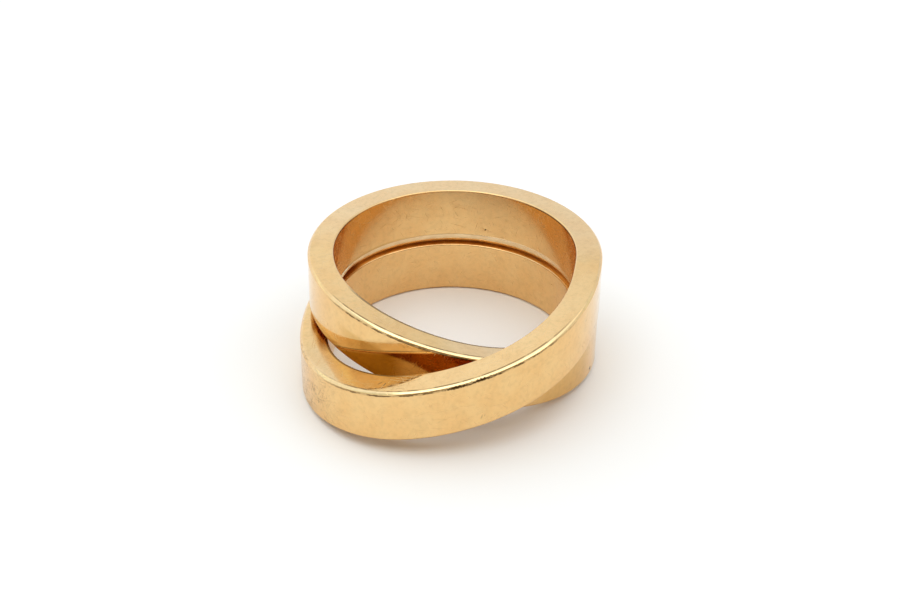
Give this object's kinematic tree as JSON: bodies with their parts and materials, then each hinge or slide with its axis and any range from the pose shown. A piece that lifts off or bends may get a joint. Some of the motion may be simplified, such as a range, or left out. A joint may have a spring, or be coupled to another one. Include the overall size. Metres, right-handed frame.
{
  "type": "crossover ring",
  "caption": "Polished yellow gold finger ring made of a flat strip that winds round in stacked turns and crosses over itself at the front.",
  "frame": {"origin": "centre of the finger hole, halfway up the ring as it lies on its side", "axes": "+Z along the finger hole and up as the ring lies, -Y towards the crossing, +X to the right of the crossing seen from the front"},
  "size_m": [0.0211, 0.0225, 0.0082],
  "materials": {
    "gold": "polished"
  },
  "bodies": {
    "root": {"crossover_band": "gold"}
  },
  "joints": []
}
